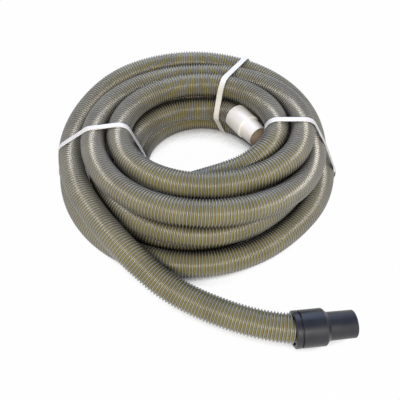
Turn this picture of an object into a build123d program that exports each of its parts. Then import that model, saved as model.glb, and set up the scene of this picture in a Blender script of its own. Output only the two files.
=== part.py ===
# Coiled pool vacuum hose with a fixed cuff, a swivel cuff and three straps, in millimetres.
# Row frame: X to the right, Y away from the viewer, Z up, floor at z = 0.
import math
import os
from build123d import *

os.makedirs("parts", exist_ok=True)

# Hose
hose_diameter = 45.0
hose_bore = 38.0
facets = 8
rib_pitch = 5.2
rib_depth = 1.6
rib_crest = 2.6
floor_cut = hose_diameter / 10

# Centre of the coil in the row frame, whose origin is under the middle of the whole part
coil_centre = Vector(9.01, 72.13, 0.0)

# Centre height of the turns that are pressed flat on the floor
low = hose_diameter / 2 - floor_cut

# The coil is turned in the row frame so that the swivel cuff lies along X
coil_turn = -5.6

# Winding: turn, radius about the coil's centre and height of the hose there, from the white cuff on.
# Whole turns are at the right, and the quarters after them at the back, the left and the front
winding = [
    (0.25, 115, 73.5), (0.5, 139, 66.5), (0.75, 131.5, 66),
    (1, 151, 66), (1.25, 165, 65.5), (1.5, 193, 64),
    (1.75, 202.5, 63.5), (1.875, 184.5, 52), (2, 188, 32),
    (2.25, 217, 66), (2.5, 255, 31.5), (2.625, 246.5, low),
    (2.75, 230, low), (2.875, 219, low), (3, 238.5, low),
    (3.25, 227, low), (3.5, 178.5, low), (3.75, 183, low),
    (3.875, 152.5, low), (4, 141.5, low), (4.25, 151, low),
    (4.5, 128.5, low), (4.75, 81, 65.5), (5, 137, 120.5),
    (5.25, 131, 120), (5.5, 154.5, 113), (5.75, 136.5, 112),
    (6, 183.5, 124), (6.25, 177.5, 110.5), (6.5, 200.5, 110),
    (6.75, 198, 113), (7, 209.5, 80), (7.125, 229, 92),
    (7.25, 225.5, 112), (7.375, 245, 103), (7.5, 246.5, 82),
]

# Free end: route from the last turn down to the floor, about the coil's centre
tail_route = [
    (-240.5, -31.5, 80.6), (-230, -92, 78), (-184, -165, 70),
    (-123.5, -236, 61), (-43, -297, 27),
]
cuff_run = [(68.0, -365.3, 28.0), (126.4, -365.3, 28.0)]

# Fixed cuff: mouth position about the coil's centre, direction out of the mouth, and sizes
fixed_mouth = (107.5, 21.4, 78.1)
fixed_heading = -58.3
fixed_length = 76.0
socket_length = 43.0
socket_diameter = 49.0
fixed_spigot_root = 44.0
fixed_spigot_tip = 41.4
cuff_bore = 38.0
hose_fit = 45.0

# Swivel cuff, measured along its axis from the open end of the sleeve's collar
cuff_start = 94.4 + coil_centre.X
collar_diameter = 56.0
collar_length = 9.0
groove_width = 1.6
neck_diameter = 50.4
neck_length = 34.0
running_fit = 0.06
barrel_diameter = 56.0
barrel_end = 47.0
shoulder_length = 4.0
spigot_end = 94.0
spigot_root = 42.4
spigot_tip = 41.4
snap_position = 25.0
snap_width = 3.0
snap_depth = 0.9
seal_width = 3.2
hose_insertion = 32.0

# Straps, each in an upright plane from an inner to an outer point about the coil's centre
strap_width = 11.0
strap_thickness = 1.0
strap_slack = 0.5
strap_lines = {
    "strap_left": ((-110, -6), (-265, -24)),
    "strap_back": ((35, 100), (91, 212)),
    "strap_right": ((112, -5), (258, -20)),
}


def placed(x, y, z=0.0):
    """A point about the coil's centre, turned and moved to the row frame."""
    return coil_centre + Vector(x, y, z).rotate(Axis.Z, coil_turn)


def slope(column, index):
    """Steady slope of a winding column per turn, flat at both ends and where the values turn back."""
    if index in (0, len(winding) - 1):
        return 0.0
    before, here, after = winding[index - 1], winding[index], winding[index + 1]
    rise = (here[column] - before[column]) / (here[0] - before[0])
    fall = (after[column] - here[column]) / (after[0] - here[0])
    return 0.0 if rise * fall <= 0 else 2 * rise * fall / (rise + fall)


def winding_stations():
    """Positions and directions of the hose at each place of the winding."""
    stations = []
    for index, (turn, radius, height) in enumerate(winding):
        angle = math.radians(360 * turn)
        out = slope(1, index) / math.radians(360)
        climb = slope(2, index) / math.radians(360)
        across, along = math.cos(angle), math.sin(angle)
        position = placed(radius * across, radius * along, height)
        direction = Vector(across * out - along * radius, along * out + across * radius, climb)
        stations.append((position, direction.rotate(Axis.Z, coil_turn).normalized()))
    return stations


def biarc(start, start_direction, end, end_direction):
    """Join point and join direction of the two tangent arcs between two stations."""
    chord = end - start
    both = start_direction + end_direction
    bend = 2 * (1 - start_direction.dot(end_direction))
    along = chord.dot(both)
    reach = (math.sqrt(along * along + bend * chord.dot(chord)) - along) / bend
    first = start + start_direction * reach
    second = end - end_direction * reach
    return (first + second) * 0.5, (second - first).normalized()


def arc_points(start, direction, end, count):
    """Points on the arc that leaves start along direction and ends at end, and its radius."""
    chord = end - start
    aside = chord - direction * chord.dot(direction)
    half_turn = math.atan2(aside.length, chord.dot(direction))
    radius = chord.length / (2 * math.sin(half_turn))
    inward = aside.normalized()
    points = []
    for step in range(count):
        turn = 2 * half_turn * step / count
        points.append(start + direction * (radius * math.sin(turn)) + inward * (radius * (1 - math.cos(turn))))
    return points, radius


def octagon(plane, width):
    """A faceted hose section of the given width across its corners, with flats facing up and down."""
    with BuildSketch(plane) as section:
        RegularPolygon(radius=width / 2, side_count=facets, rotation=180 / facets)
    return section.sketch


def cross_plane(position, direction):
    """Plane across the hose whose X axis stays level."""
    side = Vector(direction.Y, -direction.X, 0).normalized()
    return Plane(origin=position, x_dir=side, z_dir=direction)


# The route of the wound part: a straight end in the white cuff, the turns, the hand-over
fixed_end = placed(*fixed_mouth)
fixed_direction = Vector(1, 0, 0).rotate(Axis.Z, fixed_heading + coil_turn)
start_point = fixed_end - fixed_direction * (fixed_length - socket_length)
straight_end = start_point - fixed_direction * (socket_length + 1)
stations = [(straight_end, fixed_direction * -1)] + winding_stations()
corners = [placed(*point) for point in tail_route] + [coil_centre + Vector(*point) for point in cuff_run]
leave = corners[0]
leave_direction = (corners[1] - leave).normalized()
stations.append((leave, leave_direction))

arcs = []
route = [start_point + (straight_end - start_point) * (step / 16) for step in range(16)]
arc_radii = []
for (here, heading), (there, next_heading) in zip(stations, stations[1:]):
    join, join_direction = biarc(here, heading, there, next_heading)
    for begin, direction, finish in ((here, heading, join), (join, join_direction, there)):
        points, radius = arc_points(begin, direction, finish, 40)
        arcs.append((begin, direction, finish))
        route += points
        arc_radii.append(radius)
route.append(leave)
wound_length = sum((b - a).length for a, b in zip(route, route[1:]))

# Least gap of the wound hose to itself, between points more than four diameters apart along it
least = 1e9
along = [0.0]
for a, b in zip(route, route[1:]):
    along.append(along[-1] + (b - a).length)
spots = [(point.X, point.Y, point.Z) for point in route]
for i, spot in enumerate(spots):
    for j in range(i + 1, len(spots)):
        if along[j] - along[i] > 4 * hose_diameter:
            least = min(least, math.dist(spot, spots[j]))
print(f"wound length {wound_length:.0f}, tightest bend {min(arc_radii):.0f}")
print(f"least gap of the coil to itself {least - hose_diameter:.2f}")

# Where the straps pass: the outline of the hose sections on each strap's side of the coil
strap_planes = {}
strap_outlines = {}


def convex_outline(points):
    """Convex outline of flat points, counterclockwise."""
    ordered = sorted(set(points))
    halves = []
    for sequence in (ordered, ordered[::-1]):
        half = []
        for point in sequence:
            while len(half) > 1:
                (ax, ay), (bx, by) = half[-2], half[-1]
                if (bx - ax) * (point[1] - ay) - (by - ay) * (point[0] - ax) > 0:
                    break
                half.pop()
            half.append(point)
        halves.append(half[:-1])
    return halves[0] + halves[1]


for name, (inner, outer) in strap_lines.items():
    across = (placed(*outer) - placed(*inner)).normalized()
    plane = Plane(origin=placed(*inner), x_dir=across, z_dir=across.cross(Vector(0, 0, 1)))
    found = []
    for a, b in zip(route, route[1:]):
        heading = (b - a).normalized()
        side = Vector(heading.Y, -heading.X, 0).normalized()
        rise = side.cross(heading)
        if abs((a - plane.origin).dot(plane.z_dir)) > 40:
            continue
        for corner in range(24):
            turn = math.radians(15) * corner
            point = a + (side * math.cos(turn) + rise * math.sin(turn)) * (hose_diameter / 2)
            if abs((point - plane.origin).dot(plane.z_dir)) < strap_width / 2 + 0.6:
                flat = (point - plane.origin).dot(across)
                if flat < -2 * hose_diameter:
                    continue
                found.append((round(flat, 1), round(max(point.Z, strap_thickness + strap_slack + 0.2), 1)))
    hull = convex_outline(found)
    outline = [hull[0]]
    for point in hull[1:]:
        if math.dist(point, outline[-1]) > 3.0 and math.dist(point, outline[0]) > 3.0:
            outline.append(point)
    strap_planes[name] = plane
    strap_outlines[name] = outline

pieces = []

# hose_coil: the wound part, one faceted tube pressed flat on the floor
with BuildPart() as hose_coil:
    with BuildLine() as coil_path:
        Line(start_point, straight_end)
        for begin, direction, finish in arcs:
            TangentArc(begin, finish, tangent=direction)
    section = octagon(cross_plane(start_point, fixed_direction * -1), hose_diameter)
    sweep(sections=section, path=coil_path.wires()[0])
    # Socket for the bore at the cuff end
    with BuildSketch(Plane(origin=start_point, z_dir=fixed_direction * -1)):
        Circle(hose_bore / 2)
    extrude(amount=socket_length - 4, mode=Mode.SUBTRACT)
    # Floor flats
    with BuildSketch(Plane.XY):
        Rectangle(900, 900)
    extrude(amount=-40, mode=Mode.SUBTRACT)
    # Shallow marks where the straps run underneath
    for name, plane in strap_planes.items():
        low_point = min(point[0] for point in strap_outlines[name])
        high_point = max(point[0] for point in strap_outlines[name])
        with BuildSketch(plane.offset(-strap_width / 2 - 0.6)):
            with Locations(((low_point + high_point) / 2, 0)):
                Rectangle(high_point - low_point + 20, 2 * (strap_thickness + strap_slack + 0.1))
        extrude(amount=strap_width + 1.2, mode=Mode.SUBTRACT)
hose_coil.part.label = "hose_coil"
export_step(hose_coil.part, "parts/hose_coil.step")
pieces.append(hose_coil.part)

# hose_tail: the free end with its ribs, a ruled loft of four sections a rib along the route
radii = []
for a, b, c in zip(corners, corners[1:], corners[2:]):
    turn = (b - a).get_angle(c - b)
    shorter = min((b - a).length, (c - b).length)
    radii.append(0.45 * shorter / math.tan(math.radians(turn / 2)))
print("tail bend radii", [round(radius) for radius in radii])
with BuildLine() as tail_path:
    FilletPolyline(*corners, radius=radii)
tail_wire = tail_path.wires()[0]
tail_length = tail_wire.length
rib_count = int(tail_length / rib_pitch)
rib_step = tail_length / rib_count
print(f"tail length {tail_length:.0f}, ribs {rib_count}")


def tail_plane(distance):
    """Plane across the free end at a distance along it."""
    share = min(max(distance / tail_length, 0.0), 1.0)
    return cross_plane(tail_wire.position_at(share), tail_wire.tangent_at(share))


flank = (rib_pitch - rib_crest) / 3
sections = []
for rib in range(rib_count):
    start = rib * rib_step
    for advance, width in (
        (0.0, hose_diameter - 2 * rib_depth),
        (flank, hose_diameter - 2 * rib_depth),
        (2 * flank, hose_diameter),
        (2 * flank + rib_crest, hose_diameter),
    ):
        sections.append(octagon(tail_plane(start + advance), width))
sections.append(octagon(tail_plane(tail_length), hose_diameter - 2 * rib_depth))
bore_sections = []
for step in range(41):
    bore_sections.append(octagon(tail_plane(tail_length * step / 40), hose_bore))
with BuildPart() as hose_tail:
    loft(sections=sections, ruled=True)
    loft(sections=bore_sections, ruled=True, mode=Mode.SUBTRACT)
hose_tail.part.label = "hose_tail"
export_step(hose_tail.part, "parts/hose_tail.step")
pieces.append(hose_tail.part)
mean_width = hose_diameter - 2 * rib_depth * (2 * flank) / rib_pitch
ring = math.sin(math.radians(45)) * (mean_width**2 - hose_bore**2)
print(f"tail volume {hose_tail.part.volume:.0f}, section times length {ring * tail_length:.0f}")

# fixed_cuff: white moulding with a hose socket, a sloping step and a tapered spigot
fixed_plane = Plane(origin=fixed_end - fixed_direction * fixed_length, z_dir=fixed_direction)
with BuildPart() as fixed_cuff:
    with BuildSketch(fixed_plane):
        Circle(socket_diameter / 2)
    extrude(amount=socket_length)
    with BuildSketch(fixed_plane.offset(socket_length)):
        Circle(socket_diameter / 2)
    with BuildSketch(fixed_plane.offset(socket_length + 3)):
        Circle(fixed_spigot_root / 2)
    loft()
    with BuildSketch(fixed_plane.offset(socket_length + 3)):
        Circle(fixed_spigot_root / 2)
    with BuildSketch(fixed_plane.offset(fixed_length)):
        Circle(fixed_spigot_tip / 2)
    loft()
    with BuildSketch(fixed_plane):
        Circle(hose_fit / 2)
    extrude(amount=socket_length, mode=Mode.SUBTRACT)
    with BuildSketch(fixed_plane.offset(socket_length)):
        Circle(cuff_bore / 2)
    extrude(amount=fixed_length, mode=Mode.SUBTRACT)
    rims = fixed_cuff.edges().filter_by(GeomType.CIRCLE).group_by(SortBy.RADIUS)
    fillet([edge for edge in rims[-1] if (edge.arc_center - fixed_plane.origin).length < 1], radius=1.2)
fixed_cuff.part.label = "fixed_cuff"
export_step(fixed_cuff.part, "parts/fixed_cuff.step")
pieces.append(fixed_cuff.part)

# Swivel cuff pieces are turned profiles about the axis of the hose's outer end
cuff_axis_y, cuff_axis_z = corners[-1].Y, corners[-1].Z
cuff_axis = Axis((0, cuff_axis_y, cuff_axis_z), (1, 0, 0))
cuff_plane = Plane(origin=(cuff_start, cuff_axis_y, cuff_axis_z), x_dir=(1, 0, 0), z_dir=(0, -1, 0))
neck_radius = neck_diameter / 2
barrel_bore = neck_radius + running_fit
barrel_start = collar_length + groove_width
cavity_end = collar_length + neck_length + 0.4

# swivel_sleeve: threaded on the hose, with the collar that shows and a grooved neck inside the barrel
with BuildPart() as swivel_sleeve:
    with BuildSketch(cuff_plane):
        with BuildLine():
            Polyline(
                (0, hose_fit / 2),
                (0, collar_diameter / 2 - 2.2),
                (1.4, collar_diameter / 2),
                (collar_length - 0.8, collar_diameter / 2),
                (collar_length, collar_diameter / 2 - 0.8),
                (collar_length, neck_radius),
                (snap_position - snap_width / 2, neck_radius),
                (snap_position - snap_width / 2, neck_radius - snap_depth),
                (snap_position + snap_width / 2, neck_radius - snap_depth),
                (snap_position + snap_width / 2, neck_radius),
                (collar_length + neck_length - seal_width, neck_radius),
                (collar_length + neck_length - seal_width, neck_radius - 1.6),
                (collar_length + neck_length, neck_radius - 1.6),
                (collar_length + neck_length, cuff_bore / 2),
                (hose_insertion, cuff_bore / 2),
                (hose_insertion, hose_fit / 2),
                close=True,
            )
        make_face()
    revolve(axis=cuff_axis)
swivel_sleeve.part.label = "swivel_sleeve"
export_step(swivel_sleeve.part, "parts/swivel_sleeve.step")
pieces.append(swivel_sleeve.part)

# swivel_seal: rubber ring on the end of the sleeve
with BuildPart() as swivel_seal:
    with BuildSketch(cuff_plane):
        with BuildLine():
            Polyline(
                (collar_length + neck_length - seal_width, neck_radius - 1.6),
                (collar_length + neck_length - seal_width, neck_radius - 0.2),
                (collar_length + neck_length - 0.6, neck_radius - 0.2),
                (collar_length + neck_length, neck_radius - 0.8),
                (collar_length + neck_length, neck_radius - 1.6),
                close=True,
            )
        make_face()
    revolve(axis=cuff_axis)
swivel_seal.part.label = "swivel_seal"
export_step(swivel_seal.part, "parts/swivel_seal.step")
pieces.append(swivel_seal.part)

# swivel_cuff: the shell that turns on the sleeve, held by an inner snap ring
with BuildPart() as swivel_cuff:
    with BuildSketch(cuff_plane):
        with BuildLine():
            Polyline(
                (barrel_start, barrel_bore),
                (barrel_start, barrel_diameter / 2 - 0.8),
                (barrel_start + 0.8, barrel_diameter / 2),
                (barrel_end - 1.5, barrel_diameter / 2),
                (barrel_end, barrel_diameter / 2 - 1.2),
                (barrel_end + shoulder_length, spigot_root / 2 + 1.6),
                (barrel_end + shoulder_length + 2.0, spigot_root / 2),
                (spigot_end - 1.2, spigot_tip / 2 + 0.05),
                (spigot_end, spigot_tip / 2 - 0.9),
                (spigot_end, cuff_bore / 2),
                (cavity_end, cuff_bore / 2),
                (cavity_end, barrel_bore),
                (snap_position + snap_width / 2 - 0.2, barrel_bore),
                (snap_position + snap_width / 2 - 0.5, barrel_bore - snap_depth + 0.25),
                (snap_position - snap_width / 2 + 0.5, barrel_bore - snap_depth + 0.25),
                (snap_position - snap_width / 2 + 0.2, barrel_bore),
                close=True,
            )
        make_face()
    revolve(axis=cuff_axis)
swivel_cuff.part.label = "swivel_cuff"
export_step(swivel_cuff.part, "parts/swivel_cuff.step")
pieces.append(swivel_cuff.part)

# Straps: a welded band round the coil in each strap's plane
for name, plane in strap_planes.items():
    with BuildPart() as strap:
        with BuildSketch(plane.offset(-strap_width / 2)):
            with BuildLine():
                Polyline(*strap_outlines[name], close=True)
            make_face()
            offset(amount=strap_slack + strap_thickness, kind=Kind.ARC)
            with BuildLine():
                Polyline(*strap_outlines[name], close=True)
            inner_face = make_face(mode=Mode.PRIVATE)
            offset(inner_face, amount=strap_slack, kind=Kind.ARC, mode=Mode.SUBTRACT)
        extrude(amount=strap_width)
    strap.part.label = name
    export_step(strap.part, f"parts/{name}.step")
    pieces.append(strap.part)

boxes = [piece.bounding_box() for piece in pieces]
for axis in ("X", "Y", "Z"):
    low_side = min(getattr(box.min, axis) for box in boxes)
    high_side = max(getattr(box.max, axis) for box in boxes)
    print(f"{axis} from {low_side:.2f} to {high_side:.2f}, middle {(low_side + high_side) / 2:.2f}")
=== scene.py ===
"""Dresses the coiled pool vacuum hose: its ribbed hose, cuffs, straps and the studio round it."""
import logging
import math
from dataclasses import dataclass
from enum import Enum

import bpy
import numpy as np
from mathutils import Euler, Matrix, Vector


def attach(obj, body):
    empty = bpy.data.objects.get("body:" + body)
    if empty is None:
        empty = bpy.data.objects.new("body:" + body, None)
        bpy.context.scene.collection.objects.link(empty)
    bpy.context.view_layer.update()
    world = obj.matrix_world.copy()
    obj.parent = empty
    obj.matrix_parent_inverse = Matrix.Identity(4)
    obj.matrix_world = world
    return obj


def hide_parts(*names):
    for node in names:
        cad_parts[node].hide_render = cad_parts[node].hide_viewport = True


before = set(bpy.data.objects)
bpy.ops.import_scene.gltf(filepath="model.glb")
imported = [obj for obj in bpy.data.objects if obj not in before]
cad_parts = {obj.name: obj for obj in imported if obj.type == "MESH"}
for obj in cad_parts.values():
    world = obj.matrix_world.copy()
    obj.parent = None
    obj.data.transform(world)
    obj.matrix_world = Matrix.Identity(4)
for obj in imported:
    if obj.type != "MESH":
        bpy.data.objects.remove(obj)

log = logging.getLogger("pool_hose")
MM = 0.001
Point = tuple[float, float, float]
Span = tuple[float, float]


class Part(str, Enum):
    """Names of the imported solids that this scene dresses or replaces."""

    COIL = "hose_coil"
    TAIL = "hose_tail"
    FIXED_CUFF = "fixed_cuff"
    SLEEVE = "swivel_sleeve"
    SHELL = "swivel_cuff"
    SEAL = "swivel_seal"
    STRAP_LEFT = "strap_left"
    STRAP_BACK = "strap_back"
    STRAP_RIGHT = "strap_right"


class Slot(str, Enum):
    """Names of material slots for the new pieces; nothing in this script uses them."""

    HOSE = "hose"
    STRAP = "strap"


def linear(hex_colour: str) -> tuple[float, float, float, float]:
    """Turns an sRGB hex colour into linear light.

    Args:
        hex_colour: Colour such as "#8a8260".

    Returns:
        Linear red, green, blue and an alpha of 1.
    """
    channels = [int(hex_colour[i : i + 2], 16) / 255 for i in (1, 3, 5)]
    bent = [c / 12.92 if c <= 0.04045 else ((c + 0.055) / 1.055) ** 2.4 for c in channels]
    return (bent[0], bent[1], bent[2], 1.0)


def per_metre(size_mm: float) -> float:
    """How often a size in mm fits into a metre, which is the scale of a pattern of that size."""
    return 1000.0 / size_mm


def spans(source: Span, target: Span) -> dict[int, float]:
    """Settings of a map range node that turns one span of values into another."""
    return {1: source[0], 2: source[1], 3: target[0], 4: target[1]}


def add_node(
    tree: bpy.types.NodeTree, kind: str, settings: dict | None = None, links: dict | None = None
) -> bpy.types.Node:
    """Adds one shader node with its settings and links.

    Args:
        tree: Node tree to add to.
        kind: Blender's node type name.
        settings: Attribute names or input sockets, by name or number, with their values.
        links: Input sockets, by name or number, with the output sockets that feed them.

    Returns:
        The new node.
    """
    node = tree.nodes.new(kind)
    for key, value in (settings or {}).items():
        if isinstance(key, str) and hasattr(node, key):
            setattr(node, key, value)
        else:
            node.inputs[key].default_value = value
    for key, socket in (links or {}).items():
        tree.links.new(socket, node.inputs[key])
    return node


def new_material(name: str) -> tuple[bpy.types.Material, bpy.types.NodeTree]:
    """Makes an empty node material.

    Args:
        name: Name of the real material.

    Returns:
        The material and its cleared node tree.
    """
    material = bpy.data.materials.new(name)
    material.use_nodes = True
    material.node_tree.nodes.clear()
    return material, material.node_tree


def set_ramp(node: bpy.types.Node, stops: list[tuple[float, str]]) -> None:
    """Gives a colour ramp its stops.

    Args:
        node: Colour ramp node.
        stops: Positions from 0 to 1 with sRGB hex colours.
    """
    ramp = node.color_ramp
    while len(ramp.elements) < len(stops):
        ramp.elements.new(0.5)
    for element, (position, colour) in zip(ramp.elements, stops):
        element.position = position
        element.color = linear(colour)


def dress_node(part: Part, material: bpy.types.Material) -> None:
    """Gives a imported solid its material.

    Args:
        part: The solid.
        material: The material that takes the place of its own.
    """
    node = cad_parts[part.value]
    node.data.materials.clear()
    node.data.materials.append(material)
    log.info("dressed %s", part.value)


@dataclass(frozen=True)
class HosePlastic:
    """Spiral-wound EVA hose: glossy grey ribs, olive wall between them and painted shade in the
    nooks.

    The shares are parts of a rib's pitch, from the middle of a groove. Openness runs from 0 in a
    closed nook to 1 in the open.
    """

    rib_pitch_mm: float = 5.2
    crest: str = "#939288"
    flank: str = "#6c6c66"
    groove: str = "#968a38"
    groove_share: float = 0.1
    flank_share: float = 0.24
    mottle_mm: float = 45.0
    mottle_noise: Span = (0.3, 0.7)
    mottle_shade: Span = (0.86, 1.1)
    nook_mm: float = 18.0
    nook_openness: Span = (0.2, 0.72)
    nook_shade: Span = (0.05, 1.0)
    roughness: float = 0.27
    gloss: float = 0.75
    ior: float = 1.5

    def build(self) -> bpy.types.Material:
        """Builds the rib-striped material, which reads metres along the hose from the UV map."""
        material, tree = new_material("extruded EVA hose")
        uv = add_node(tree, "ShaderNodeUVMap", {"uv_map": "along"})
        parts = add_node(tree, "ShaderNodeSeparateXYZ", links={0: uv.outputs[0]})
        ribs = add_node(
            tree,
            "ShaderNodeMath",
            {"operation": "MULTIPLY", 1: per_metre(self.rib_pitch_mm)},
            {0: parts.outputs[1]},
        )
        wound = add_node(
            tree,
            "ShaderNodeMath",
            {"operation": "SUBTRACT"},
            {0: ribs.outputs[0], 1: parts.outputs[0]},
        )
        phase = add_node(tree, "ShaderNodeMath", {"operation": "FRACT"}, {0: wound.outputs[0]})
        stripe = add_node(tree, "ShaderNodeValToRGB", links={0: phase.outputs[0]})
        rising = [(self.groove_share, self.groove), (self.flank_share, self.flank)]
        falling = [(1 - share, colour) for share, colour in reversed(rising)]
        set_ramp(stripe, [*rising, (0.5, self.crest), *falling])
        place = add_node(tree, "ShaderNodeNewGeometry")
        mottle = add_node(
            tree,
            "ShaderNodeTexNoise",
            {"Scale": per_metre(self.mottle_mm), "Detail": 3.0},
            {"Vector": place.outputs["Position"]},
        )
        shade = add_node(
            tree,
            "ShaderNodeMapRange",
            spans(self.mottle_noise, self.mottle_shade),
            {0: mottle.outputs[0]},
        )
        # Painted shade: the colour darkens where the hose is closed in by nearby turns and ribs
        nook = add_node(
            tree, "ShaderNodeAmbientOcclusion", {"samples": 6, "Distance": self.nook_mm * MM}
        )
        painted_shade = add_node(
            tree,
            "ShaderNodeMapRange",
            spans(self.nook_openness, self.nook_shade),
            {0: nook.outputs["AO"]},
        )
        dimmed = add_node(
            tree,
            "ShaderNodeMath",
            {"operation": "MULTIPLY"},
            {0: shade.outputs[0], 1: painted_shade.outputs[0]},
        )
        colour = add_node(
            tree,
            "ShaderNodeVectorMath",
            {"operation": "SCALE"},
            {0: stripe.outputs[0], "Scale": dimmed.outputs[0]},
        )
        skin = add_node(
            tree,
            "ShaderNodeBsdfPrincipled",
            {"Roughness": self.roughness, "IOR": self.ior, "Specular IOR Level": self.gloss},
            {"Base Color": colour.outputs[0]},
        )
        add_node(tree, "ShaderNodeOutputMaterial", links={0: skin.outputs[0]})
        return material


@dataclass(frozen=True)
class PaintedBoreShade:
    """Tan painted shade inside a cuff's bore, where the bore lies in shadow.

    The mouth is in metres and the heading points out of it.
    """

    mouth: Point
    heading: Point
    colour: str = "#d2bfac"
    radius_mm: float = 19.2
    edge_mm: float = 0.4

    def over(
        self, tree: bpy.types.NodeTree, place: bpy.types.Node, clean: bpy.types.NodeSocket
    ) -> bpy.types.NodeSocket:
        """Lays the painted shade over a clean colour inside the bore.

        Args:
            tree: Node tree of the cuff's material.
            place: Geometry node of that tree.
            clean: Colour outside the bore.

        Returns:
            The colour with the painted shade in it.
        """
        away = add_node(
            tree,
            "ShaderNodeVectorMath",
            {"operation": "SUBTRACT", 1: self.mouth},
            {0: place.outputs["Position"]},
        )
        across = add_node(
            tree,
            "ShaderNodeVectorMath",
            {"operation": "CROSS_PRODUCT", 1: self.heading},
            {0: away.outputs[0]},
        )
        reach = add_node(
            tree, "ShaderNodeVectorMath", {"operation": "LENGTH"}, {0: across.outputs[0]}
        )
        rim = (self.radius_mm * MM, (self.radius_mm + self.edge_mm) * MM)
        inside = add_node(
            tree, "ShaderNodeMapRange", spans(rim, (1.0, 0.0)), {0: reach.outputs["Value"]}
        )
        mixed = add_node(
            tree,
            "ShaderNodeMix",
            {"data_type": "RGBA", 7: linear(self.colour)},
            {0: inside.outputs[0], 6: clean},
        )
        return mixed.outputs[2]


@dataclass(frozen=True)
class MouldedPlastic:
    """Injection-moulded plastic: even colour with a fine satin grain and faint flow marks.

    The grain is drawn coarser than the real one, which would be too fine to show.
    """

    name: str
    colour: str
    mark: str
    roughness: float
    flow_mm: float = 22.0
    flow_noise: Span = (0.3, 0.62)
    satin_change: Span = (-0.06, 0.08)
    grain_mm: float = 0.8
    grain_depth_mm: float = 0.02
    grain_strength: float = 0.35
    ior: float = 1.5
    bore: PaintedBoreShade | None = None

    def build(self) -> bpy.types.Material:
        """Builds the moulded material."""
        material, tree = new_material(self.name)
        place = add_node(tree, "ShaderNodeNewGeometry")
        flow = add_node(
            tree,
            "ShaderNodeTexNoise",
            {"Scale": per_metre(self.flow_mm), "Detail": 4.0},
            {"Vector": place.outputs["Position"]},
        )
        colour = add_node(tree, "ShaderNodeValToRGB", links={0: flow.outputs[0]})
        set_ramp(colour, list(zip(self.flow_noise, (self.mark, self.colour))))
        shown = colour.outputs[0]
        # The tan inside the bore is painted shade
        if self.bore:
            shown = self.bore.over(tree, place, shown)
        grain = add_node(
            tree,
            "ShaderNodeTexNoise",
            {"Scale": per_metre(self.grain_mm), "Detail": 2.0},
            {"Vector": place.outputs["Position"]},
        )
        smoothest, roughest = (self.roughness + change for change in self.satin_change)
        satin = add_node(
            tree,
            "ShaderNodeMapRange",
            spans((0.0, 1.0), (smoothest, roughest)),
            {0: flow.outputs[0]},
        )
        bump = add_node(
            tree,
            "ShaderNodeBump",
            {"Strength": self.grain_strength, "Distance": self.grain_depth_mm * MM},
            {"Height": grain.outputs[0]},
        )
        skin = add_node(
            tree,
            "ShaderNodeBsdfPrincipled",
            {"IOR": self.ior},
            {"Base Color": shown, "Roughness": satin.outputs[0], "Normal": bump.outputs[0]},
        )
        add_node(tree, "ShaderNodeOutputMaterial", links={0: skin.outputs[0]})
        return material


@dataclass(frozen=True)
class PaleFloor:
    """Matt studio board: seen as white, dark only deep between the turns, with a soft shadow."""

    colour: str = "#a3a3a1"
    white: str = "#ffffff"
    lift: float = 0.985
    nook_mm: float = 90.0
    nook_openness: Span = (0.22, 0.32)

    def build(self) -> bpy.types.Material:
        """Builds the floor material."""
        material, tree = new_material("matt white board")
        board = add_node(tree, "ShaderNodeBsdfDiffuse", {"Color": linear(self.colour)})
        glow = add_node(
            tree, "ShaderNodeEmission", {"Color": linear(self.white), "Strength": 1.0}
        )
        nook = add_node(
            tree, "ShaderNodeAmbientOcclusion", {"samples": 8, "Distance": self.nook_mm * MM}
        )
        open_air = add_node(
            tree,
            "ShaderNodeMapRange",
            spans(self.nook_openness, (0.0, self.lift)),
            {0: nook.outputs["AO"]},
        )
        # Rays that see the board, straight or mirrored, as against those that light the hose
        ray = add_node(tree, "ShaderNodeLightPath")
        adding = {"operation": "ADD", "use_clamp": True}
        mirrored = add_node(
            tree,
            "ShaderNodeMath",
            adding,
            {0: ray.outputs["Is Camera Ray"], 1: ray.outputs["Is Glossy Ray"]},
        )
        seen = add_node(
            tree,
            "ShaderNodeMath",
            adding,
            {0: mirrored.outputs[0], 1: ray.outputs["Is Transmission Ray"]},
        )
        share = add_node(
            tree,
            "ShaderNodeMath",
            {"operation": "MULTIPLY"},
            {0: seen.outputs[0], 1: open_air.outputs[0]},
        )
        mixed = add_node(
            tree,
            "ShaderNodeMixShader",
            links={0: share.outputs[0], 1: board.outputs[0], 2: glow.outputs[0]},
        )
        add_node(tree, "ShaderNodeOutputMaterial", links={0: mixed.outputs[0]})
        return material


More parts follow.
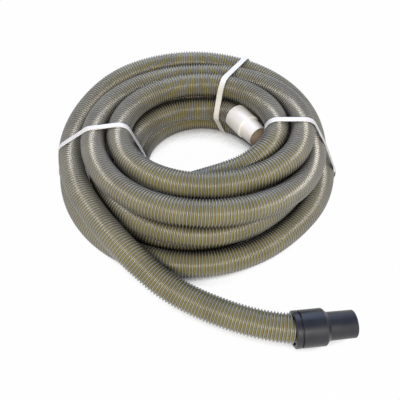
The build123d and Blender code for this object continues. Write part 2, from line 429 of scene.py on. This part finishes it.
@dataclass
class HoseRoute:
    """The line of the hose: straight out of the white cuff, round the coil and along the free end.

    Lengths are in mm about the coil's centre, before the coil's turn to the row frame, apart from
    the run into the black cuff, which lies along X. Angles are in degrees.
    """

    coil_centre: tuple[float, float] = (9.01, 72.13)
    coil_turn: float = -5.6
    low: float = 18.0
    points_per_turn: int = 16
    fixed_mouth: Point = (107.5, 21.4, 78.1)
    fixed_heading: float = -58.3
    cuff_end: tuple[Point, ...] = (
        (90.2, 49.5, 78.1),
        (77, 70.8, 78.1),
        (66.5, 88, 78),
        (56, 100, 77.5),
        (40, 109, 76.2),
        (16, 115.5, 74.3),
    )
    tail: tuple[Point, ...] = (
        (-230, -92, 78),
        (-184, -165, 70),
        (-123.5, -236, 61),
        (-43, -297, 27),
    )
    cuff_run: tuple[Point, ...] = ((68, -365.3, 28), (126.4, -365.3, 28))

    def winding(self) -> list[tuple[float, float, float]]:
        """Turn, radius and height of the hose at the places that shape the winding.

        Whole turns are at the right, and the quarters after them at the back, left and front.

        Returns:
            Places from the back of the first turn to the left of the last.
        """
        low = self.low
        places = [(0.25, 115, 73.5), (0.5, 139, 66.5), (0.75, 131.5, 66), (1, 151, 66)]
        places += [(1.25, 165, 65.5), (1.5, 193, 64), (1.75, 202.5, 63.5), (1.875, 184.5, 52)]
        places += [(2, 188, 32), (2.25, 217, 66), (2.5, 255, 31.5), (2.625, 246.5, low)]
        places += [(2.75, 230, low), (2.875, 219, low), (3, 238.5, low), (3.25, 227, low)]
        # The place at turn 3.625 moves one strand further out than in the solid, as photographed
        places += [(3.5, 178.5, low), (3.625, 197, low), (3.75, 183, low)]
        places += [(3.875, 152.5, low), (4, 141.5, low)]
        places += [(4.25, 151, low), (4.5, 128.5, low), (4.75, 81, 65.5), (5, 137, 120.5)]
        places += [(5.25, 131, 120), (5.5, 154.5, 113), (5.75, 136.5, 112), (6, 183.5, 124)]
        places += [(6.25, 177.5, 110.5), (6.5, 200.5, 110), (6.75, 198, 113), (7, 209.5, 80)]
        places += [(7.125, 229, 92), (7.25, 225.5, 112), (7.375, 245, 103), (7.5, 246.5, 82)]
        return places

    @staticmethod
    def between(places: list[tuple[float, float, float]], column: int, turn: float) -> float:
        """Smooth value at a turn of the winding, level where the values turn back.

        Args:
            places: Turn, radius and height at each place.
            column: 1 for the radius, 2 for the height.
            turn: Turn between the first and the last place.

        Returns:
            The value there.
        """

        def rise(i: int) -> float:
            """Slope from one place to the next."""
            return (places[i + 1][column] - places[i][column]) / (places[i + 1][0] - places[i][0])

        def slope(i: int) -> float:
            """Steady slope at a place."""
            if i <= 0 or i >= len(places) - 1 or rise(i - 1) * rise(i) <= 0:
                return 0.0
            return 2 * rise(i - 1) * rise(i) / (rise(i - 1) + rise(i))

        i = max(k for k in range(len(places) - 1) if places[k][0] <= turn + 1e-9)
        step = places[i + 1][0] - places[i][0]
        t = (turn - places[i][0]) / step
        start = places[i][column] * (2 * t**3 - 3 * t**2 + 1)
        leaving = slope(i) * step * (t**3 - 2 * t**2 + t)
        end = places[i + 1][column] * (3 * t**2 - 2 * t**3)
        arriving = slope(i + 1) * step * (t**3 - t**2)
        return start + leaving + end + arriving

    def place(self, point: Point, turned: bool = True) -> Vector:
        """Moves a point from the coil's centre to the row frame, in metres.

        Args:
            point: Point about the coil's centre in mm.
            turned: False for a point that already lies along the row frame's axes.

        Returns:
            The point in the row frame.
        """
        spot = Vector(point)
        if turned:
            spot.rotate(Euler((0, 0, math.radians(self.coil_turn))))
        return (spot + Vector((*self.coil_centre, 0))) * MM

    def fixed_end(self) -> tuple[Point, Point]:
        """The white cuff's mouth and the direction out of it, in the row frame."""
        angle = math.radians(self.fixed_heading + self.coil_turn)
        return tuple(self.place(self.fixed_mouth)), (math.cos(angle), math.sin(angle), 0.0)

    def control_points(self) -> list[Vector]:
        """Control points of the hose's line, in metres in the row frame.

        Returns:
            Points from the white cuff to the black one.
        """
        places = self.winding()
        first, last = places[0][0], places[-1][0]
        points = list(self.cuff_end)
        # Control points lie outside the line that they draw
        swell = 1 / math.cos(math.pi / self.points_per_turn)
        for step in range(1, round((last - first) * self.points_per_turn) + 1):
            turn = first + step / self.points_per_turn
            radius = self.between(places, 1, turn) * swell
            height = self.between(places, 2, turn)
            angle = 2 * math.pi * turn
            points.append((radius * math.cos(angle), radius * math.sin(angle), height))
        points += self.tail
        run = [self.place(point, turned=False) for point in self.cuff_run]
        return [self.place(point) for point in points] + run

    def line(self) -> np.ndarray:
        """Points read from the route's smooth NURBS line.

        Returns:
            An array of points, in metres.
        """
        points = self.control_points()
        curve = bpy.data.curves.new("hose_line", "CURVE")
        curve.dimensions = "3D"
        curve.resolution_u = 16
        spline = curve.splines.new("NURBS")
        spline.points.add(len(points) - 1)
        for target, point in zip(spline.points, points):
            target.co = (*point, 1.0)
        spline.order_u = 3
        spline.use_endpoint_u = True
        carrier = bpy.data.objects.new("hose_line", curve)
        bpy.context.scene.collection.objects.link(carrier)
        bpy.context.view_layer.update()
        mesh = bpy.data.meshes.new_from_object(carrier)
        found = np.empty(len(mesh.vertices) * 3)
        mesh.vertices.foreach_get("co", found)
        bpy.data.objects.remove(carrier)
        bpy.data.curves.remove(curve)
        bpy.data.meshes.remove(mesh)
        return found.reshape(-1, 3)


@dataclass
class RibbedHose:
    """The whole hose as one hollow ribbed tube."""

    route: HoseRoute
    finish: HosePlastic
    diameter_mm: float = 45.0
    bore_mm: float = 38.0
    rib_depth_mm: float = 2.8
    rings_per_rib: int = 8
    segments: int = 28
    bore_step_mm: float = 20.0
    path_step_mm: float = 6.0
    smoothing_mm: float = 12.0
    skin_floor_mm: float = 0.2
    bore_floor_mm: float = 3.0

    def frames(self, spacing: float) -> tuple[np.ndarray, np.ndarray, np.ndarray, np.ndarray]:
        """Even stations along the hose with a level side and a rise direction at each.

        Args:
            spacing: Distance between stations in metres.

        Returns:
            Distances, centres, side directions and rise directions.
        """
        line = self.route.line()
        steps = np.linalg.norm(np.diff(line, axis=0), axis=1)
        run = np.concatenate([[0.0], np.cumsum(steps)])
        # Doubled points are left out
        keep = np.concatenate([[True], np.diff(run) > 1e-7])
        line, run = line[keep], run[keep]
        count = int(round(run[-1] / spacing))
        along = np.linspace(0.0, run[-1], count + 1)
        centres = np.stack([np.interp(along, run, line[:, k]) for k in range(3)], axis=1)
        # The headings are averaged over an odd number of stations
        width = max(3, int(self.smoothing_mm * MM / spacing)) | 1
        rough = np.gradient(centres, axis=0)
        rough = np.pad(rough, ((width // 2, width // 2), (0, 0)), mode="edge")
        even = np.ones(width) / width
        heading = np.stack([np.convolve(rough[:, k], even, "valid") for k in range(3)], axis=1)
        heading /= np.linalg.norm(heading, axis=1)[:, None]
        side = np.stack([heading[:, 1], -heading[:, 0], np.zeros(len(heading))], axis=1)
        side /= np.linalg.norm(side, axis=1)[:, None]
        return along, centres, side, np.cross(side, heading)

    def tube(self, spacing: float, ribbed: bool) -> tuple[np.ndarray, np.ndarray, np.ndarray]:
        """Rings of points for the outer skin or the bore.

        Args:
            spacing: Distance between rings in metres.
            ribbed: True for the outer skin with its spiral rib, False for the smooth bore.

        Returns:
            Distances along the hose, turns round it, and the points ring by ring.
        """
        along, centres, side, rise = self.frames(spacing)
        turns = np.arange(self.segments) / self.segments
        reach = np.full((len(along), self.segments), self.bore_mm / 2 * MM)
        if ribbed:
            ribs = along * per_metre(self.finish.rib_pitch_mm)
            phase = np.mod(ribs[:, None] - turns[None, :], 1.0)
            swell = 0.5 - 0.5 * np.cos(2 * math.pi * phase)
            crest = swell**2 * (3 - 2 * swell)
            reach = (self.diameter_mm / 2 - self.rib_depth_mm * (1 - crest)) * MM
        angle = 2 * math.pi * turns[None, :, None]
        outward = side[:, None, :] * np.cos(angle) + rise[:, None, :] * np.sin(angle)
        points = centres[:, None, :] + outward * reach[:, :, None]
        # The lowest turns are pressed flat where they rest on the floor
        floor = (self.skin_floor_mm if ribbed else self.bore_floor_mm) * MM
        points[:, :, 2] = np.maximum(points[:, :, 2], floor)
        return along, turns, points

    def quads(self, first: int, rings: int) -> np.ndarray:
        """Faces between neighbouring rings.

        Args:
            first: Number of the first ring's first point.
            rings: Number of rings.

        Returns:
            Four point numbers for each face.
        """
        ring = np.arange(rings - 1)[:, None] * self.segments + first
        here = np.arange(self.segments)[None, :]
        there = (here + 1) % self.segments
        ahead = ring + self.segments
        faces = np.stack([ring + here, ring + there, ahead + there, ahead + here], axis=2)
        return faces.reshape(-1, 4)

    def closed_mesh(self) -> tuple[bpy.types.Mesh, float]:
        """Joins the skin and the bore at both ends and lays the UV map that the ribs' colours use.

        Returns:
            The mesh and the hose's length in metres.
        """
        along, turns, skin = self.tube(self.finish.rib_pitch_mm / self.rings_per_rib * MM, True)
        bore_along, _, bore = self.tube(self.bore_step_mm * MM, False)
        count = self.segments
        points = np.concatenate([skin.reshape(-1, 3), bore.reshape(-1, 3)])
        start = len(skin) * count
        last_skin, last_bore = start - count, start + (len(bore) - 1) * count
        here = np.arange(count)
        there = (here + 1) % count
        near = np.stack([there, start + there, start + here, here], axis=1)
        far = np.stack(
            [last_bore + here, last_bore + there, last_skin + there, last_skin + here], axis=1
        )
        outside = self.quads(0, len(skin))[:, ::-1]
        faces = np.concatenate([outside, self.quads(start, len(bore)), near, far])
        mesh = bpy.data.meshes.new("ribbed_hose")
        mesh.from_pydata(points, [], faces)
        mesh.update()
        distance = np.repeat(np.concatenate([along, bore_along]), count)
        turn = np.tile(turns, len(along) + len(bore_along))
        used = np.empty(len(mesh.loops), dtype=np.int64)
        mesh.loops.foreach_get("vertex_index", used)
        # Faces over the seam go on past the full turn
        around = turn[used].reshape(-1, 4)
        seam = np.ptp(around, axis=1)[:, None] > 0.5
        around = np.where(seam & (around < 0.5), around + 1, around)
        layer = mesh.uv_layers.new(name="along")
        chart = np.stack([around.reshape(-1), distance[used]], axis=1)
        layer.data.foreach_set("uv", chart.reshape(-1).astype(np.float32))
        mesh.polygons.foreach_set("use_smooth", np.ones(len(mesh.polygons), dtype=bool))
        return mesh, float(along[-1])

    def build(self) -> None:
        mesh, length = self.closed_mesh()
        hose = bpy.data.objects.new("ribbed_hose", mesh)
        bpy.context.scene.collection.objects.link(hose)
        hose.data.materials.append(self.finish.build())
        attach(hose, "hose")
        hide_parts(Part.COIL.value, Part.TAIL.value)
        _, centres, _, _ = self.frames(self.path_step_mm * MM)
        log.info("ribbed hose: %.2f m long, %d points", length, len(mesh.vertices))


@dataclass
class Cuffs:
    """The white fixed cuff and the black swivel cuff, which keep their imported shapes."""

    white: MouldedPlastic
    black: MouldedPlastic
    rubber: MouldedPlastic

    def dress(self) -> None:
        """Gives each cuff solid its material."""
        black = self.black.build()
        dress_node(Part.FIXED_CUFF, self.white.build())
        dress_node(Part.SLEEVE, black)
        dress_node(Part.SHELL, black)
        dress_node(Part.SEAL, self.rubber.build())


@dataclass
class Straps:
    """The three white straps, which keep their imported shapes, and the weld of the left one.

    The weld's line lies about the coil's centre, in mm, along the middle of the left strap.
    """

    finish: MouldedPlastic
    route: HoseRoute
    weld_from: tuple[float, float] = (-187.0, -14.9)
    weld_to: tuple[float, float] = (-217.0, -18.4)
    width_mm: float = 10.6
    thickness_mm: float = 1.0
    sunk_mm: float = 0.2
    edge_mm: float = 0.3
    drop_mm: float = 300.0
    stations: int = 9

    def weld(self, material: bpy.types.Material) -> None:
        """Lays the left strap's loose end over the strap, where it is welded.

        Args:
            material: The straps' material.
        """
        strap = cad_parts[Part.STRAP_LEFT.value]
        start, end = (Vector((*spot, self.drop_mm)) for spot in (self.weld_from, self.weld_to))
        aside = Vector((0, 0, 1)).cross(end - start).normalized() * (self.width_mm / 2)
        points, faces = [], []
        for step in range(self.stations):
            middle = start.lerp(end, step / (self.stations - 1))
            rail = [self.route.place(spot) for spot in (middle - aside, middle + aside)]
            tops = [strap.ray_cast(spot, (0, 0, -1))[1].z for spot in rail]
            for lift in (-self.sunk_mm, self.thickness_mm):
                points += [(spot.x, spot.y, top + lift * MM) for spot, top in zip(rail, tops)]
            if step:
                here, back = 4 * step, 4 * step - 4
                for a, b in ((0, 1), (1, 3), (3, 2), (2, 0)):
                    faces.append((back + a, back + b, here + b, here + a))
        last = 4 * self.stations - 4
        faces += [(0, 2, 3, 1), (last, last + 1, last + 3, last + 2)]
        mesh = bpy.data.meshes.new("strap_weld")
        mesh.from_pydata(points, [], faces)
        mesh.materials.append(material)
        piece = bpy.data.objects.new("strap_weld", mesh)
        bpy.context.scene.collection.objects.link(piece)
        edge = piece.modifiers.new("rolled edge", "BEVEL")
        edge.width = self.edge_mm * MM
        edge.segments = 2
        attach(piece, "hose")
        log.info("laid the weld on %s", Part.STRAP_LEFT.value)

    def dress(self) -> None:
        """Gives each strap its material and lays the weld."""
        material = self.finish.build()
        self.weld(material)
        for part in (Part.STRAP_LEFT, Part.STRAP_BACK, Part.STRAP_RIGHT):
            dress_node(part, material)


@dataclass(frozen=True)
class SoftLamp:
    """A soft square lamp that faces the hose.

    Its place, side and target are in metres and its power is in watts.
    """

    name: str
    place: Point
    side: float
    power: float
    colour: str
    target: Point = (0, 0, 0.05)

    def hang(self) -> None:
        """Adds the lamp to the scene."""
        light = bpy.data.lights.new(self.name, "AREA")
        light.color = linear(self.colour)[:3]
        light.size = self.side
        light.energy = self.power
        holder = bpy.data.objects.new(self.name, light)
        aim = Vector(self.target) - Vector(self.place)
        holder.location = self.place
        holder.rotation_euler = aim.to_track_quat("-Z", "Y").to_euler()
        bpy.context.scene.collection.objects.link(holder)


@dataclass
class Studio:
    """Floor with a round wall, soft lamps under a pale sky, and the camera.

    Places and lengths are in metres where no name says mm.
    """

    lens_mm: float = 42.8
    sensor_mm: float = 36.0
    nearest: float = 0.01
    eye: Point = (-0.0678, -0.5972, 0.6881)
    aim: Point = (-0.0092, -0.051, 0.06)
    wall_radius: float = 6.0
    wall_height: float = 3.0
    wall_sides: int = 32
    sky_colour: str = "#b4c8ff"
    sky_strength: float = 0.4
    lamps: tuple[SoftLamp, ...] = (
        SoftLamp("front_softbox", (-0.2, -2.35, 2.05), 1.2, 94.0, "#fff6e8"),
        SoftLamp("sky_softbox", (0.0, 1.5, 1.5), 1.8, 26.0, "#c8d6ff"),
        SoftLamp("rim_softbox", (0.0, 1.25, 1.35), 0.5, 6.0, "#e8eeff"),
    )

    def lay_floor(self) -> None:
        """Lays the floor and its wall, which is white behind the hose from every side."""
        count = self.wall_sides
        angles = [2 * math.pi * i / count for i in range(count)]
        rim = [(self.wall_radius * math.cos(a), self.wall_radius * math.sin(a)) for a in angles]
        points = [(*spot, height) for height in (0, self.wall_height) for spot in rim]
        walls = [(i, (i + 1) % count, count + (i + 1) % count, count + i) for i in range(count)]
        mesh = bpy.data.meshes.new("floor")
        mesh.from_pydata(points, [], [tuple(range(count)), *walls])
        floor = bpy.data.objects.new("floor", mesh)
        floor.data.materials.append(PaleFloor().build())
        bpy.context.scene.collection.objects.link(floor)

    def hang_sky(self) -> None:
        """Hangs the sky over the floor."""
        world = bpy.data.worlds.new("pale blue sky")
        bpy.context.scene.world = world
        world.use_nodes = True
        sky = world.node_tree.nodes["Background"]
        sky.inputs["Color"].default_value = linear(self.sky_colour)
        sky.inputs["Strength"].default_value = self.sky_strength

    def set_camera(self) -> None:
        """Sets the camera to the photograph's view."""
        camera = bpy.data.cameras.new("camera")
        camera.lens = self.lens_mm
        camera.sensor_width = self.sensor_mm
        camera.clip_start = self.nearest
        viewer = bpy.data.objects.new("camera", camera)
        aim = Vector(self.aim) - Vector(self.eye)
        viewer.location = self.eye
        viewer.rotation_euler = aim.to_track_quat("-Z", "Y").to_euler()
        bpy.context.scene.collection.objects.link(viewer)
        bpy.context.scene.camera = viewer

    def build(self) -> None:
        """Builds the studio round the hose."""
        bpy.context.scene.view_settings.view_transform = "Standard"
        self.lay_floor()
        self.hang_sky()
        for lamp in self.lamps:
            lamp.hang()
        self.set_camera()
        log.info("studio ready")


def main() -> None:
    logging.basicConfig(level=logging.INFO, format="%(name)s: %(message)s")
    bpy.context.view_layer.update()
    route = HoseRoute()
    RibbedHose(route, HosePlastic()).build()
    # Cream white and satin, with tan painted shade in its mouth
    bore = PaintedBoreShade(*route.fixed_end())
    white = MouldedPlastic("moulded white polyethylene", "#f9f5ea", "#f1ece0", 0.4, bore=bore)
    # Blue-black with a broad soft shine
    black = MouldedPlastic("moulded black polyethylene", "#26282d", "#202126", 0.34)
    # Dull and quite black
    rubber = MouldedPlastic("black nitrile rubber", "#0d0d0d", "#090909", 0.7)
    Cuffs(white, black, rubber).dress()
    # Clean white and smooth, with a faint shine
    strap = MouldedPlastic("white polypropylene strap", "#f4f1e6", "#e9e6da", 0.4)
    Straps(strap, route).dress()
    Studio().build()


if __name__ == "__main__":
    main()
